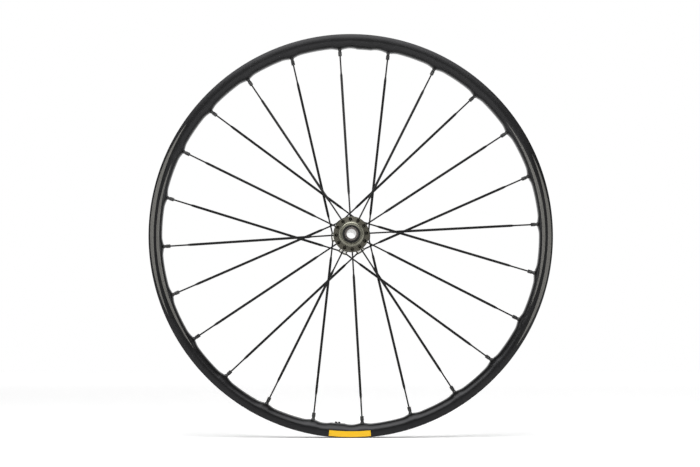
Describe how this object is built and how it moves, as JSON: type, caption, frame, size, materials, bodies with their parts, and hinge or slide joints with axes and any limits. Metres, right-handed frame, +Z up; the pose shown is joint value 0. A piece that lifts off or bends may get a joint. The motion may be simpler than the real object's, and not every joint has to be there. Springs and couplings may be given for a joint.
{
  "type": "front bicycle wheel",
  "caption": "Front disc-brake bicycle wheel without a tyre: milled hollow rim, bladed straight-pull spokes, radial on one side and crossed on the other, on a thru-axle hub that spins.",
  "frame": {"origin": "centre of the wheel, on the axle's axis in the rim's middle plane", "axes": "+Y along the axle to the disc side (rider's left), +X forward, +Z up"},
  "size_m": [0.6339, 0.11, 0.634],
  "materials": {
    "rim_anodised_aluminium": "satin black anodised",
    "bush_nylon": "moulded black nylon",
    "nipple_anodised_aluminium": "black anodised",
    "hub_anodised_aluminium": "turned and black anodised",
    "axle_aluminium": "turned",
    "cap_anodised_aluminium": "turned and grey anodised",
    "spoke_black_steel": "drawn, bladed and black coated",
    "bearing_steel": "ground",
    "cage_nylon": "moulded",
    "seal_rubber": "moulded black rubber"
  },
  "bodies": {
    "axle": {"axle": "axle_aluminium", "right_end_cap": "cap_anodised_aluminium", "right_bearing_inner_race": "bearing_steel", "left_end_cap": "cap_anodised_aluminium", "left_bearing_inner_race": "bearing_steel"},
    "wheel": {"rim": "rim_anodised_aluminium", "valve_hole_bush": "bush_nylon", "spoke_nipples": "nipple_anodised_aluminium", "hub_shell": "hub_anodised_aluminium", "right_spoke_01": "spoke_black_steel", "right_spoke_02": "spoke_black_steel", "right_spoke_03": "spoke_black_steel", "right_spoke_04": "spoke_black_steel", "right_spoke_05": "spoke_black_steel", "right_spoke_06": "spoke_black_steel", "right_spoke_07": "spoke_black_steel", "right_spoke_08": "spoke_black_steel", "right_spoke_09": "spoke_black_steel", "right_spoke_10": "spoke_black_steel", "right_spoke_11": "spoke_black_steel", "right_spoke_12": "spoke_black_steel", "left_spoke_01": "spoke_black_steel", "left_spoke_02": "spoke_black_steel", "left_spoke_03": "spoke_black_steel", "left_spoke_04": "spoke_black_steel", "left_spoke_05": "spoke_black_steel", "left_spoke_06": "spoke_black_steel", "left_spoke_07": "spoke_black_steel", "left_spoke_08": "spoke_black_steel", "left_spoke_09": "spoke_black_steel", "left_spoke_10": "spoke_black_steel", "left_spoke_11": "spoke_black_steel", "left_spoke_12": "spoke_black_steel", "right_dust_seal": "seal_rubber", "right_bearing_outer_race": "bearing_steel", "right_bearing_seals": "seal_rubber", "left_dust_seal": "seal_rubber", "left_bearing_outer_race": "bearing_steel", "left_bearing_seals": "seal_rubber"},
    "right_ball_set": {"right_bearing_cage": "cage_nylon", "right_bearing_balls": "bearing_steel"},
    "left_ball_set": {"left_bearing_cage": "cage_nylon", "left_bearing_balls": "bearing_steel"}
  },
  "joints": [
    {"name": "wheel_spin", "type": "hinge", "parent": "axle", "child": "wheel", "pos_m": [0, 0, 0], "axis": [0, 1, 0], "continuous": true},
    {"name": "right_ball_orbit", "type": "hinge", "parent": "axle", "child": "right_ball_set", "pos_m": [0, 0, 0], "axis": [0, 1, 0], "continuous": true},
    {"name": "left_ball_orbit", "type": "hinge", "parent": "axle", "child": "left_ball_set", "pos_m": [0, 0, 0], "axis": [0, 1, 0], "continuous": true}
  ],
  "couplings": [
    {"joint": "right_ball_orbit", "follows": "wheel_spin", "ratio": 0.55349},
    {"joint": "left_ball_orbit", "follows": "wheel_spin", "ratio": 0.55349}
  ]
}
